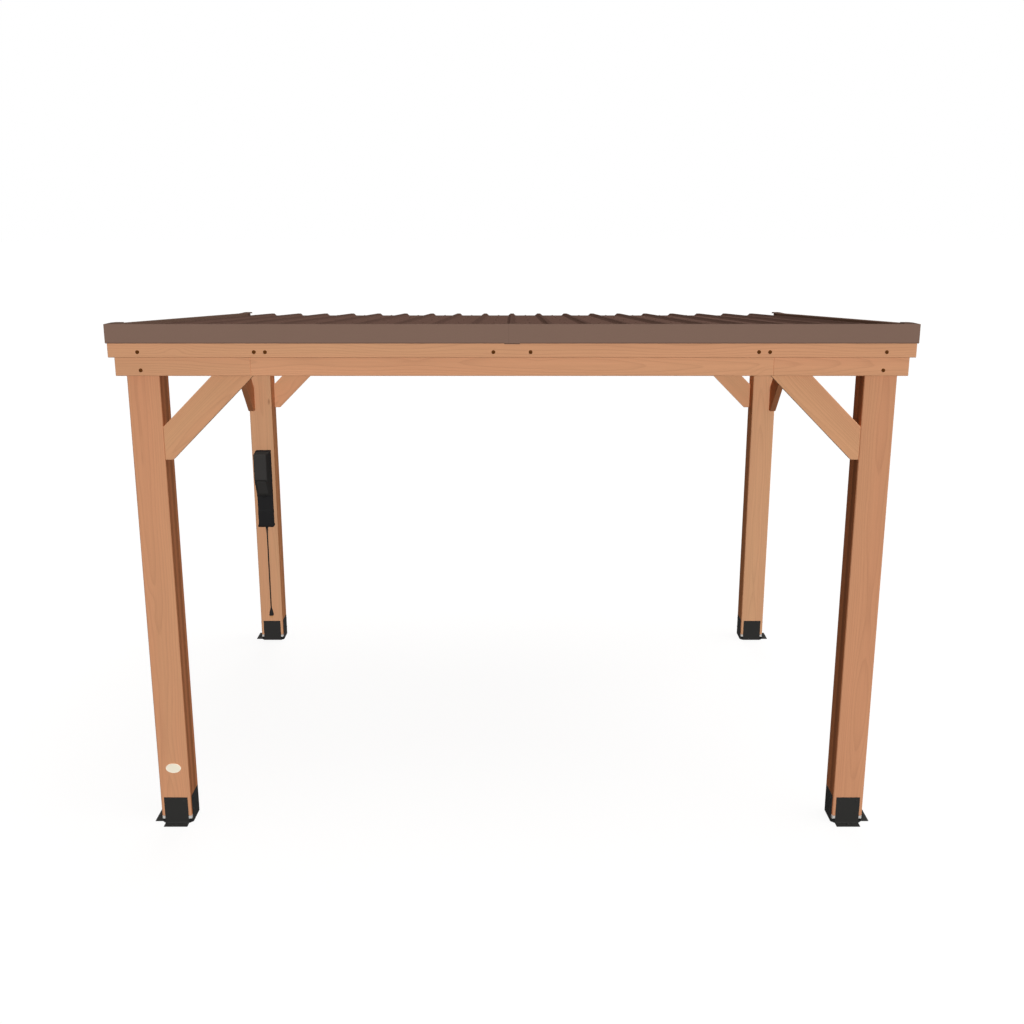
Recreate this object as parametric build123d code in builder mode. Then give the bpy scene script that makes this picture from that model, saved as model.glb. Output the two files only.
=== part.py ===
"""Open gazebo with a single-pitch roof: timber posts on steel feet, knee braces and a ribbed metal roof."""

import math
import os

from build123d import *

os.makedirs("parts", exist_ok=True)

# Overall frame, in millimetres: X across, Y from front to back, Z up from the ground
frame_width = 3536.0
frame_depth = 2734.0
front_headroom = 2281.0
roof_pitch = 4.9

# Posts
post_side = 150.0
post_lift = 38.0
post_ease = 4.0

# Steel feet, each with a light spacer between its seat and the post
foot_plate_width = 118.0
foot_plate_height = 142.0
foot_steel = 3.0
foot_flange = 41.0
foot_bend = 5.0
anchor_radius = 6.5
spacer_height = 14.0

# Beams: boards bolted to the outer faces of the posts
beam_thickness = 38.0
beam_height = 140.0
beam_end_length = 616.0
board_ease = 2.0

# Rim boards: the upper, outer boards
rim_thickness = 22.0
rim_raise = 87.0

# Knee braces at 45 degrees
brace_width = 136.0
brace_thickness = 38.0
brace_drop = 400.0
brace_toe = 36.0
brace_lap = 30.0

# Rafters from front to back, the outer ones just inside the beam joints, and purlins across them
rafter_height = 140.0
rafter_thickness = 38.0
rafter_inset = 49.0
rafter_raise = 38.0
purlin_height = 38.0
purlin_width = 89.0
purlin_count = 5

# Ribbed roof sheets
sheet_steel = 2.0
rib_pitch = 180.0
rib_base = 50.0
rib_crest = 20.0
rib_height = 13.0
ribs_each_side = 10

# Metal fascia, folded over the ribs at the front and the sides, with a raised cap on each corner
fascia_thickness = 6.0
fascia_height = 87.0
fascia_hem = 4.5
trim_width = 61.5
trim_steel = 1.5
cap_width = 77.0
cap_length = 70.0
cap_height = 8.0
cap_outer_slant = 38.0
cap_inner_slant = 6.0
joiner_width = 70.0
joiner_thickness = 1.5

# Outlet unit on the front face of the back left post, a little nearer to the middle of the gazebo
outlet_shift = 5.0
outlet_width = 98.0
outlet_bottom = 846.0
outlet_height = 527.0
outlet_depth = 50.0
outlet_foot_depth = 56.0
outlet_foot_height = 120.0
hood_width = 98.0
hood_front_width = 85.0
hood_depth = 100.0
hood_bottom = 1063.0
hood_slant = 137.0
hood_ease = 10.0
outlet_ease = 5.0

# Cord that hangs from the outlet unit, with its plug
gland_radius = 9.0
gland_length = 12.0
cord_radius = 4.5
cord_length = 585.0
plug_neck_radius = 6.0
plug_width = 29.0
plug_thickness = 24.0
plug_corner = 8.0
plug_taper = 42.0
plug_body = 14.0
blade_length = 17.0
blade_width = 6.4
blade_steel = 1.5
blade_spacing = 12.7
ground_pin_radius = 2.4
ground_pin_offset = 8.0

# Blank oval plate on the front left post
badge_length = 75.0
badge_width = 50.0
badge_thickness = 2.0
badge_height = 303.0

# Worked-out places
half_width = frame_width / 2
half_depth = frame_depth / 2
tilt = math.radians(roof_pitch)
slope = math.tan(tilt)
purlin_raise = rafter_raise + rafter_height
roof_raise = purlin_raise + purlin_height
sheet_top_raise = roof_raise + sheet_steel / math.cos(tilt)
beam_outset = beam_thickness
rim_outset = beam_outset + rim_thickness
fascia_outset = rim_outset + fascia_thickness
rib_top_raise = roof_raise + (sheet_steel + rib_height) / math.cos(tilt)
trim_top_raise = rib_top_raise + trim_steel
fascia_low_raise = trim_top_raise - fascia_height
beam_reach = half_width + beam_outset
beam_joint = beam_reach - beam_end_length
rafter_offset = beam_joint - rafter_inset

LEFT, RIGHT = -1, 1
FRONT, BACK = -1, 1
side_names = {LEFT: "left", RIGHT: "right"}
end_names = {FRONT: "front", BACK: "back"}


def height(y, lift):
    """Height at y of the line that falls with the roof, lift above the front beam's underside."""
    return front_headroom + lift - (y + half_depth) * slope


def write(node, name):
    """Names a finished piece and writes its file."""
    node.part.label = name
    export_step(node.part, f"parts/{name}.step")


def across(points, y_low, y_high, ease=0.0):
    """A piece outlined in X and Z, between two planes in Y."""
    with BuildPart() as piece:
        with BuildSketch(Plane.XZ.offset(-y_high)):
            Polygon(*points)
        extrude(amount=y_high - y_low)
        if ease:
            chamfer(piece.edges(), ease)
    return piece


def along(points, x_low, x_high, ease=0.0):
    """A piece outlined in Y and Z, between two planes in X."""
    with BuildPart() as piece:
        with BuildSketch(Plane.YZ.offset(x_low)):
            Polygon(*points)
        extrude(amount=x_high - x_low)
        if ease:
            chamfer(piece.edges(), ease)
    return piece


def slope_plane(y, lift):
    """A section plane square to the roof's fall, facing up the slope towards the front."""
    return Plane(
        origin=(0, y, height(y, lift)),
        x_dir=(1, 0, 0),
        z_dir=(0, -math.cos(tilt), math.sin(tilt)),
    )


def ordered(a, b):
    """The two values, lower first."""
    return min(a, b), max(a, b)


def sloped_strip(y_low, y_high, lift_low, lift_high):
    """Outline in Y and Z of a strip that runs with the roof."""
    return [
        (y_low, height(y_low, lift_low)),
        (y_high, height(y_high, lift_low)),
        (y_high, height(y_high, lift_high)),
        (y_low, height(y_low, lift_high)),
    ]


def level_board(y_low, y_high, bottom, top_lift):
    """Outline in Y and Z of a board with a level underside and a top that runs with the roof."""
    return [
        (y_low, bottom),
        (y_high, bottom),
        (y_high, height(y_high, top_lift)),
        (y_low, height(y_low, top_lift)),
    ]


def post_centre(side, end):
    return side * (half_width - post_side / 2), end * (half_depth - post_side / 2)


def build_post(side, end):
    """A square post, cut level just below the top of the beam boards."""
    x, y = post_centre(side, end)
    top = height(y + post_side / 2, beam_height)
    with BuildPart() as post:
        with BuildSketch(Plane((x, y, post_lift))):
            Rectangle(post_side, post_side)
        extrude(amount=top - post_lift)
        chamfer(post.edges(), post_ease)
    return post


def build_foot(side, end):
    """A steel shoe: a base with cut corners, four upright plates, a raised seat and two anchored flanges."""
    x, y = post_centre(side, end)
    plate_centre = (post_side + foot_steel) / 2
    flange_centre = (post_side + foot_flange) / 2
    seat_span = post_side + foot_steel * 2
    seat_top = post_lift - spacer_height
    with BuildPart() as foot:
        with BuildSketch(Plane((x, y, 0))):
            with Locations((0, plate_centre), (0, -plate_centre)):
                Rectangle(foot_plate_width, foot_steel)
            with Locations((plate_centre, 0), (-plate_centre, 0)):
                Rectangle(foot_steel, foot_plate_width)
        extrude(amount=foot_plate_height)
        with BuildSketch(Plane((x, y, seat_top - foot_steel))):
            Rectangle(foot_plate_width, seat_span)
            Rectangle(seat_span, foot_plate_width)
        extrude(amount=foot_steel)
        with BuildSketch(Plane((x, y, 0))):
            with Locations((0, end * flange_centre)):
                Rectangle(foot_plate_width, foot_flange)
            with Locations((side * flange_centre, 0)):
                Rectangle(foot_flange, foot_plate_width)
            anchor = (post_side + foot_flange + foot_steel) / 2
            with Locations((0, end * anchor), (side * anchor, 0)):
                Circle(anchor_radius, mode=Mode.SUBTRACT)
        extrude(amount=foot_steel)
        bend = post_side / 2 + foot_steel
        edges = foot.edges()
        end_bend = edges.sort_by_distance((x, y + end * bend, foot_steel))[0]
        side_bend = edges.sort_by_distance((x + side * bend, y, foot_steel))[0]
        fillet([end_bend, side_bend], foot_bend)
        with BuildSketch(Plane((x, y, 0))):
            Rectangle(seat_span, seat_span)
            chamfer(vertices(), (seat_span - foot_plate_width) / 2)
        extrude(amount=foot_steel)
    return foot


def build_spacers():
    """A spacer under each post, on the seat of its foot."""
    with BuildPart() as spacers:
        for end in end_names:
            for side in side_names:
                x, y = post_centre(side, end)
                with BuildSketch(Plane((x, y, post_lift - spacer_height))):
                    Rectangle(post_side, post_side)
                    chamfer(vertices(), post_ease)
                extrude(amount=spacer_height)
    return spacers


def brace_outline(foot_z, top_z, fall_rate):
    """Points as distance from the post's face and height, with a top cut that falls by fall_rate."""
    rise = brace_width * math.sqrt(2) - brace_toe
    low_reach = (top_z - foot_z + brace_toe) / (1 + fall_rate)
    high_reach = (top_z - foot_z - rise) / (1 + fall_rate)
    return [
        (0, foot_z),
        (brace_toe, foot_z),
        (low_reach, top_z - low_reach * fall_rate),
        (high_reach, top_z - high_reach * fall_rate),
        (0, foot_z + rise),
    ]


def brace_foot(end):
    return height(end * half_depth, -brace_drop)


def build_end_brace(side, end):
    """A brace in the plane of the front or the back, flush with the post's outer face."""
    face = half_width - post_side
    top = height(end * half_depth, brace_lap)
    outline = brace_outline(brace_foot(end), top, 0.0)
    points = [(side * (face - reach), z) for reach, z in outline]
    y_low, y_high = ordered(end * half_depth, end * (half_depth - brace_thickness))
    return across(points, y_low, y_high, board_ease)


def build_side_brace(side, end):
    """A brace in the plane of a side, flush with the post's outer face and cut to the sloping beam."""
    face = half_depth - post_side
    top = height(end * face, brace_lap)
    outline = brace_outline(brace_foot(end), top, -end * slope)
    points = [(end * (face - reach), z) for reach, z in outline]
    x_low, x_high = ordered(side * half_width, side * (half_width - brace_thickness))
    return along(points, x_low, x_high, board_ease)


def build_end_beam(end, x_low, x_high):
    """A stretch of the front or back beam."""
    y_low, y_high = ordered(end * half_depth, end * (half_depth + beam_outset))
    bottom = height(end * half_depth, 0)
    top = bottom + beam_height
    outline = [(y_low, bottom), (y_high, bottom), (y_high, top), (y_low, top)]
    return along(outline, x_low, x_high, board_ease)


def build_side_beam(side):
    """The sloping beam of one side, between the front and back beams."""
    x_low, x_high = ordered(side * half_width, side * (half_width + beam_outset))
    return along(sloped_strip(-half_depth, half_depth, 0, beam_height), x_low, x_high, board_ease)


def build_end_rim(end):
    """The rim board of the front or back, across the whole width."""
    y_low, y_high = ordered(end * (half_depth + beam_outset), end * (half_depth + rim_outset))
    bottom = height(end * half_depth, rim_raise)
    reach = half_width + rim_outset
    return along(level_board(y_low, y_high, bottom, roof_raise), -reach, reach, board_ease)


def build_side_rim(side):
    """The sloping rim board of one side."""
    x_low, x_high = ordered(side * (half_width + beam_outset), side * (half_width + rim_outset))
    reach = half_depth + beam_outset
    return along(sloped_strip(-reach, reach, rim_raise, roof_raise), x_low, x_high, board_ease)


def build_rafters():
    """Three rafters between the front and back beams."""
    with BuildPart() as rafters:
        for x in (-rafter_offset, 0.0, rafter_offset):
            with BuildSketch(Plane.YZ.offset(x - rafter_thickness / 2)):
                Polygon(*sloped_strip(-half_depth, half_depth, rafter_raise, purlin_raise))
            extrude(amount=rafter_thickness)
        chamfer(rafters.edges(), board_ease)
    return rafters


def build_purlins():
    """Battens across the rafters, between the side rim boards, from the front rim board to the back one."""
    reach = half_width + beam_outset
    first = -(half_depth + beam_outset) + purlin_width / 2
    spacing = -2 * first / (purlin_count - 1)
    with BuildPart() as purlins:
        for index in range(purlin_count):
            y = first + index * spacing
            outline = sloped_strip(y - purlin_width / 2, y + purlin_width / 2, purlin_raise, roof_raise)
            with BuildSketch(Plane.YZ.offset(-reach)):
                Polygon(*outline)
            extrude(amount=2 * reach)
        chamfer(purlins.edges(), board_ease)
    return purlins


def sheet_line(x_low, x_high):
    """The ribbed section's upper line from x_low to x_high, as X and height above the sheet's flat."""
    line = []
    for index in range(-ribs_each_side, ribs_each_side + 1):
        x = index * rib_pitch
        line += [
            (x - rib_base / 2, 0.0),
            (x - rib_crest / 2, rib_height),
            (x + rib_crest / 2, rib_height),
            (x + rib_base / 2, 0.0),
        ]
    inside = [(x, z) for x, z in line if x_low < x < x_high]
    ends = {x: rib_height if x == 0 else 0.0 for x in (x_low, x_high)}
    return [(x_low, ends[x_low]), *inside, (x_high, ends[x_high])]


def build_roof_sheet(side):
    """One half of the roof, ribbed from front to back; the halves meet on the middle rib."""
    y_front = half_depth + rim_outset
    y_back = half_depth + fascia_outset
    lean = (sheet_steel + rib_height) * math.sin(tilt)
    x_low, x_high = ordered(0.0, side * (half_width + rim_outset))
    upper = sheet_line(x_low, x_high)
    section = [*upper, *((x, z + sheet_steel) for x, z in reversed(upper))]
    with BuildPart() as sheet:
        with BuildSketch(slope_plane(y_back, roof_raise)):
            Polygon(*section)
        extrude(amount=(y_front + y_back - lean) / math.cos(tilt))
    return sheet


def build_front_fascia(side):
    """One half of the front fascia, folded back over the ends of the ribs."""
    outer = -(half_depth + fascia_outset)
    inner = outer + fascia_thickness
    plate_low, plate_high = ordered(0.0, side * (half_width + rim_outset))
    fold_low, fold_high = ordered(0.0, side * (half_width + fascia_outset - trim_width))
    with BuildPart() as fascia:
        with BuildSketch(Plane.YZ.offset(plate_low)):
            Polygon(*level_board(outer, inner, height(outer, fascia_low_raise), rib_top_raise))
        extrude(amount=plate_high - plate_low)
        low_edges = fascia.edges().filter_by(Axis.X).group_by(Axis.Z)[0]
        fillet(low_edges.sort_by(Axis.Y)[0], fascia_hem)
        with BuildSketch(Plane.YZ.offset(fold_low)):
            Polygon(*sloped_strip(outer, outer + trim_width, rib_top_raise, trim_top_raise))
        extrude(amount=fold_high - fold_low)
    return fascia


def build_back_fascia():
    """The back fascia, under the open ends of the ribs."""
    outer = half_depth + fascia_outset
    inner = outer - fascia_thickness
    reach = half_width + rim_outset
    with BuildPart() as fascia:
        with BuildSketch(Plane.YZ.offset(-reach)):
            Polygon(*level_board(inner, outer, height(outer, fascia_low_raise), roof_raise))
        extrude(amount=2 * reach)
        low_edges = fascia.edges().filter_by(Axis.X).group_by(Axis.Z)[0]
        fillet(low_edges.sort_by(Axis.Y)[-1], fascia_hem)
    return fascia


def build_side_fascia(side):
    """The fascia of one side, folded over the outermost rib down to the flat, with a cap on each corner."""
    reach = half_depth + fascia_outset
    outer = half_width + fascia_outset
    plate_low, plate_high = ordered(side * (outer - fascia_thickness), side * outer)
    fold_low, fold_high = ordered(side * (outer - trim_width), side * outer)
    leg_low, leg_high = ordered(side * (outer - trim_width), side * (outer - trim_width + trim_steel))
    leg_front = half_depth + rim_outset
    cap = [
        (side * outer, 0.0),
        (side * (outer - cap_outer_slant), cap_height),
        (side * (outer - cap_width + cap_inner_slant), cap_height),
        (side * (outer - cap_width), 0.0),
    ]
    with BuildPart() as fascia:
        with BuildSketch(Plane.YZ.offset(plate_low)):
            Polygon(*sloped_strip(-reach, reach, fascia_low_raise, rib_top_raise))
        extrude(amount=plate_high - plate_low)
        long_edges = fascia.edges().filter_by(lambda edge: edge.length > reach)
        low_edges = long_edges.sort_by(Axis.Z)[:2]
        fillet(low_edges.sort_by(Axis.X)[0 if side == LEFT else -1], fascia_hem)
        with BuildSketch(Plane.YZ.offset(fold_low)):
            Polygon(*sloped_strip(-reach, reach, rib_top_raise, trim_top_raise))
        extrude(amount=fold_high - fold_low)
        with BuildSketch(Plane.YZ.offset(leg_low)):
            Polygon(*sloped_strip(-leg_front, reach, sheet_top_raise, rib_top_raise))
        extrude(amount=leg_high - leg_low)
        for y in (cap_length - reach, reach):
            with BuildSketch(slope_plane(y, trim_top_raise)):
                Polygon(*cap)
            extrude(amount=cap_length)
    return fascia


def build_front_joiner():
    """The cover strip over the middle joint of the front fascia, folded like it."""
    fold = -(half_depth + fascia_outset)
    outer = fold - joiner_thickness
    inner = fold + trim_width
    bottom = height(fold, fascia_low_raise)
    top_raise = trim_top_raise + joiner_thickness
    points = [
        (outer, bottom),
        (fold, bottom),
        (fold, height(fold, trim_top_raise)),
        (inner, height(inner, trim_top_raise)),
        (inner, height(inner, top_raise)),
        (outer, height(outer, top_raise)),
    ]
    return along(points, -joiner_width / 2, joiner_width / 2)


def outlet_place():
    """The middle of the outlet unit's back, as X and Y."""
    x, y = post_centre(LEFT, BACK)
    return x + outlet_shift, y - post_side / 2


def build_outlet_box():
    """The outlet unit's housing, a little deeper at its foot."""
    x, face = outlet_place()
    step = outlet_bottom + outlet_foot_height
    outline = [
        (face, outlet_bottom),
        (face, outlet_bottom + outlet_height),
        (face - outlet_depth, outlet_bottom + outlet_height),
        (face - outlet_depth, step),
        (face - outlet_foot_depth, step - (outlet_foot_depth - outlet_depth)),
        (face - outlet_foot_depth, outlet_bottom),
    ]
    with BuildPart() as box:
        with BuildSketch(Plane.YZ.offset(x - outlet_width / 2)):
            Polygon(*outline)
        extrude(amount=outlet_width)
        fillet(box.edges().filter_by(Axis.Z).group_by(Axis.Y)[0], outlet_ease)
    return box


def build_outlet_hood():
    """The deep cover over the sockets, closed, narrower at its front, with a slanting underside."""
    x, face = outlet_place()
    back = face - outlet_depth
    front = back - hood_depth
    top = outlet_bottom + outlet_height
    half_back = hood_width / 2
    half_front = hood_front_width / 2
    with BuildPart() as hood:
        with BuildSketch(Plane((x, 0, hood_bottom))):
            Polygon((-half_back, back), (half_back, back), (half_front, front), (-half_front, front))
        extrude(amount=top - hood_bottom)
        fillet(hood.edges().filter_by(Axis.Z).group_by(Axis.Y)[0], hood_ease)
        with BuildSketch(Plane.YZ.offset(x - half_back)):
            Polygon((back, hood_bottom), (front, hood_bottom), (front, hood_bottom + hood_slant))
        extrude(amount=hood_width, mode=Mode.SUBTRACT)
        top_edges = hood.faces().sort_by(Axis.Z)[-1].edges()
        fillet(top_edges.sort_by(Axis.Y)[:-1], outlet_ease)
    return hood


def cord_exit():
    """The point where the cord leaves the housing's underside."""
    x, face = outlet_place()
    return x, face - outlet_depth / 2, outlet_bottom


def build_cord_gland():
    x, y, z = cord_exit()
    with BuildPart() as gland:
        with BuildSketch(Plane((x, y, z - gland_length))):
            Circle(gland_radius)
        extrude(amount=gland_length)
    return gland


def build_power_cord():
    """The cord, hanging straight from the gland to the plug."""
    x, y, z = cord_exit()
    with BuildPart() as cord:
        with BuildSketch(Plane((x, y, z - gland_length - cord_length))):
            Circle(cord_radius)
        extrude(amount=cord_length)
    return cord


def build_cord_plug():
    """The plug on the cord's end, pointing down, with two blades and a ground pin."""
    x, y, z = cord_exit()
    neck = z - gland_length - cord_length
    shoulder = neck - plug_taper
    face = shoulder - plug_body
    with BuildPart() as plug:
        with BuildSketch(Plane((x, y, face))):
            RectangleRounded(plug_width, plug_thickness, plug_corner)
        extrude(amount=plug_body)
        with BuildSketch(Plane((x, y, shoulder))):
            RectangleRounded(plug_width, plug_thickness, plug_corner)
        with BuildSketch(Plane((x, y, neck))):
            Circle(plug_neck_radius)
        loft()
        with BuildSketch(Plane((x, y, face - blade_length))):
            with Locations((-blade_spacing / 2, 0), (blade_spacing / 2, 0)):
                Rectangle(blade_steel, blade_width)
            with Locations((0, ground_pin_offset)):
                Circle(ground_pin_radius)
        extrude(amount=blade_length)
    return plug


def build_badge():
    """A blank oval plate on the front face of the front left post."""
    x, y = post_centre(LEFT, FRONT)
    with BuildPart() as badge:
        with BuildSketch(Plane.XZ.offset(half_depth)):
            with Locations((x, badge_height)):
                Ellipse(badge_length / 2, badge_width / 2)
        extrude(amount=badge_thickness)
    return badge


# Posts, feet, braces and spacers at the four corners
for end, end_name in end_names.items():
    for side, side_name in side_names.items():
        corner = f"{end_name}_{side_name}"
        write(build_post(side, end), f"{corner}_post")
        write(build_foot(side, end), f"{corner}_foot")
        write(build_end_brace(side, end), f"{corner}_brace")
        write(build_side_brace(side, end), f"{corner}_side_brace")
write(build_spacers(), "post_spacers")

# Beams and rim boards
for end, end_name in end_names.items():
    write(build_end_beam(end, -beam_reach, -beam_joint), f"{end_name}_left_beam_board")
    write(build_end_beam(end, -beam_joint, beam_joint), f"{end_name}_middle_beam_board")
    write(build_end_beam(end, beam_joint, beam_reach), f"{end_name}_right_beam_board")
    write(build_end_rim(end), f"{end_name}_rim_board")
for side, side_name in side_names.items():
    write(build_side_beam(side), f"{side_name}_beam_board")
    write(build_side_rim(side), f"{side_name}_rim_board")

# Roof
write(build_rafters(), "rafters")
write(build_purlins(), "purlins")
write(build_back_fascia(), "back_fascia")
write(build_front_joiner(), "front_fascia_joiner")
for side, side_name in side_names.items():
    write(build_front_fascia(side), f"front_{side_name}_fascia")
    write(build_side_fascia(side), f"{side_name}_fascia")
    write(build_roof_sheet(side), f"{side_name}_roof_sheet")

# Outlet unit, its cord and the blank plate
write(build_outlet_box(), "outlet_box")
write(build_outlet_hood(), "outlet_hood")
write(build_cord_gland(), "cord_gland")
write(build_power_cord(), "power_cord")
write(build_cord_plug(), "cord_plug")
write(build_badge(), "badge_plate")
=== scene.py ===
"""Looks of an open gazebo with a single-pitch roof: finishes, fasteners, outlet details, cord and light."""

import math

import bmesh
import bpy
from mathutils import Matrix, Vector


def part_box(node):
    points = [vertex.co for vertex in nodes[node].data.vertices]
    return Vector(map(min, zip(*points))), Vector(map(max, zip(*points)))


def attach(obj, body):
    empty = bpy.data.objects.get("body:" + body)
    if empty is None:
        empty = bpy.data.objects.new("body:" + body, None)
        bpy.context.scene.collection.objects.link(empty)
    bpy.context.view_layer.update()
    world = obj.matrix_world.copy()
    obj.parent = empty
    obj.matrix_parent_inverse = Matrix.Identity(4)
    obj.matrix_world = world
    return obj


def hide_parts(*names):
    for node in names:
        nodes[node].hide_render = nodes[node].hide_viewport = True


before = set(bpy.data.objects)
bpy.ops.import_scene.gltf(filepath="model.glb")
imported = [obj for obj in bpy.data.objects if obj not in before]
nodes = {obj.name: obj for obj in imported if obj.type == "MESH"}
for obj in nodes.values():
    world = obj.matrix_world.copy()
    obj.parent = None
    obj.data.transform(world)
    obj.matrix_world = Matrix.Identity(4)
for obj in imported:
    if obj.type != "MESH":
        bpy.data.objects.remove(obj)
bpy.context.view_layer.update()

# Camera, in metres and in pixels of the 1024-pixel photograph
camera_place = (0.0, -7.009, 3.141)
camera_dip = math.radians(15)
sensor_width = 36.0
focal_pixels = 1236.6
image_pixels = 1024

# Colours, in screen values from 0 to 255
post_colour = (199, 144, 109)
# Painted light: the back posts are lighter than the front posts, to make up for the shade under the roof
lightened_back_post_colour = (201, 152, 116)
board_colour = (204, 151, 115)
# Painted shade: the side boards and side braces are redder and darker than the front timber, standing for
# shade on faces turned to the sides
shaded_side_board_colour = (204, 141, 101)
brace_colour = (204, 151, 114)
shaded_side_brace_colour = (204, 136, 96)
roof_timber_colour = (196, 141, 104)
knot_colour = (128, 78, 50)
fascia_colour = (128, 104, 92)
# Painted shade: the roof sheets' coating is darker than the fascia's, though both are the same steel
shaded_roof_colour = (94, 72, 64)
# Painted shadow: the hem is far darker than the fascia steel it is folded from, standing for the shadow line
# under the cover strip
hem_shadow_colour = (70, 48, 38)
steel_colour = (49, 49, 48)
spacer_colour = (196, 195, 192)
outlet_colour = (37, 37, 38)
hood_colour = (60, 59, 58)
# Painted light: the slant's panel is lighter than the hood, to make up for its facing down
lit_slant_colour = (72, 71, 70)
trim_colour = (30, 30, 30)
rubber_colour = (30, 28, 27)
bolt_colour = (85, 49, 18)
bracket_colour = (38, 38, 38)
plate_colour = (240, 233, 214)
brass_colour = (190, 150, 84)
foam_colour = (26, 25, 24)

# Timber's growth rings, in metres; late wood rises and drops at shares of a ring
ring_pitch = 0.0058
pith_offset = (0.018, 0.115)
late_rise = (0.35, 0.90)
late_drop = (0.93, 1.0)

# Timber's noise, in waves a metre through, across and along the grain
sway_waves = (2.0, 2.0, 0.55)
wobble_waves = (22.0, 22.0, 2.2)
fibre_waves = (520.0, 520.0, 9.0)
streak_waves = (95.0, 95.0, 1.6)
band_waves = (13.0, 13.0, 0.7)
warmth_waves = (8.0, 8.0, 0.5)
sway_reach = (0.09, 0.09, 0.0)
wobble_rings = 1.1

# Timber's knots: cells in a metre, their edges as shares of a cell, and how far rings bulge round them
knot_cells = (5.0, 5.0, 1.7)
knot_edge = (0.024, 0.050)
bulge_edge = (0.02, 0.22)
bulge_lift = 0.020
knot_share = 0.35

# How much each of these changes the timber's tone
early_tone = 1.034
late_tone = 0.085
band_tone = 0.075
streak_tone = 0.075
fibre_tone = 0.055
knot_tone = 0.15
piece_tone = 0.022
row_tone = 0.05
layer_tone = 0.26
glue_tone = 0.35
timber_wear = 0.20

# Timber's hue and surface
warm_shift = (3, -2, -1)
cool_shift = (-3, 3, 2)
timber_rough = (-0.25, 0.90)
fibre_relief = 0.6
late_relief = 0.5
timber_bump = 0.0005
timber_gloss = 0.0
timber_edge = 0.003

# Steps that give each piece and each layer a figure of its own
pith_turn = 2.4
figure_step = 5.3
tone_turn = 1.7
layer_step = 3.71

# Glued layers that show on the left and right faces of the posts, in metres
layer_count = 4
layer_margin = 0.0002
glue_width = 0.0012
side_margin = 0.0015
# Painted shade: the posts' left and right faces are tinted redder and darker by this factor
side_shade_tint = (1.0, 0.80, 0.68)

# Masks: cosines at an edge's start and end and for faces turned a way, and shares of a line's width
edge_cosines = (0.995, 0.86)
turned_cosines = (0.7, 0.9)
line_shares = (0.4, 0.6)

# Coated steel: how much darker the ribs' crests and the trims' upper faces are, as painted shade, and how
# much darker the seam of the cover strip is
crest_painted_shade = 0.20
crest_fade = (0.010, 0.003)
upper_painted_shade = 0.46
cap_fade = (0.0016, 0.0024)
seam_grime = 0.20
joiner_seam = -0.0155
seam_width = 0.0012

# Other finishes: scales of noise, swings of tone and roughness, and reaches of worn edges in metres
cloud_range = (0.25, 0.75)
coat_cloud_scale = 3.2
coat_speck_scale = 240.0
coat_edge = 0.002
coat_rough_swing = (-0.05, 0.07)
plastic_cloud_scale = 14.0
plastic_mottle = 0.06
plastic_edge = 0.0015
plastic_wear = 0.25
plastic_rough_swing = (-0.05, 0.05)
brush_waves = (900.0, 900.0, 60.0)
brush_mottle = 0.08
brush_range = (0.3, 0.7)
brush_rough = (0.24, 0.40)
brush_bump = 0.00003

# Ribs of the roof sheets and the foam in their open ends, in metres
rib_pitch = 0.180
rib_base = 0.050
rib_crest = 0.020
rib_height = 0.013
ribs_each_side = 10
sheet_steel = 0.002
foam_gap = 0.0004
foam_inset = 0.002
foam_depth = 0.028

# Roof timbers, in metres
rafter_width = 0.038
purlin_width = 0.089
purlin_rows = 5

# Meshes: the sharpest angle that is smoothed, and the largest corner as a share of a side
smooth_angle = math.radians(35)
corner_limit = 0.49

# Fasteners, in metres; eased edges and the crown are shares of the part that has them
washer_radius = 0.0088
washer_height = 0.0016
washer_ease = 0.35
hex_radius = 0.0062
hex_height = 0.0040
hex_crown = 0.86
hex_dome = 0.18
lag_scale = 0.72
lag_reach = 0.041
lag_inset = 0.020
lag_low = 0.058
foot_steel = 0.003
anchor_scale = 1.15
sheet_screw_scale = 0.70

# Bolts on the beams: distances from the middle of a rafter or post, and heights above a beam's underside
rafter_bolt_reach = 0.025
middle_bolt_reach = 0.084
lower_bolt_shift = 0.003
upper_bolt_lift = 0.112
lower_bolt_lift = 0.026

# Steel hangers that carry the rafters, in metres
hanger_steel = 0.002
hanger_reach = 0.062
hanger_height = 0.105
hanger_ease = 0.0006
hanger_wing = 0.045
middle_hanger_wing = 0.105
wing_top = 0.134
hanger_bolt_scale = 0.9

# Outlet unit's lip, gasket, hinges and latch, in metres
lip_height = 0.014
lip_proud = 0.004
lip_margin = 0.001
lip_ease = 0.003
gasket_depth = 0.003
gasket_proud = 0.0014
gasket_ease = 0.0006
hinge_radius = 0.0045
hinge_length = 0.026
hinge_reach = 0.027
latch_low = (-0.011, -0.010, -0.009)
latch_high = (0.011, -0.001, 0.006)
latch_ease = 0.0015

# Outlet unit's raised panels and cover, in metres; the slant's panel is placed by shares of the slant
panel_proud = 0.0012
panel_corner = 0.006
panel_root = 0.001
panel_ease = 0.4
hood_slant = 0.137
hood_panel_width = 0.058
hood_panel_inset = 0.012
hood_panel_drop = 0.016
slant_panel_width = 0.062
slant_panel_middle = 0.52
slant_panel_share = 0.72
cover_height = 0.108
cover_margin = 0.022
cover_lift = 0.008
cover_screw_inset = 0.008
cover_screw_radius = 0.0030
cover_screw_section = ((0, 0.25), (0.42, 0.25), (0.46, 0.58), (0.80, 0.48), (1, 0), (0, 0))

# Plate's rim, in metres, and its section as shares of its width and height
badge_rim_width = 0.0022
badge_rim_proud = 0.0006
badge_rim_section = ((0, 0), (0, 0.625), (0.3, 1), (0.7, 1), (1, 0.625), (1, -0.625))

# Hem under the fascia's cover strip, in metres
hem_drop = 0.0020
hem_depth = 0.0060
hem_lap = 0.0012
hem_ease = 0.0005

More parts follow.
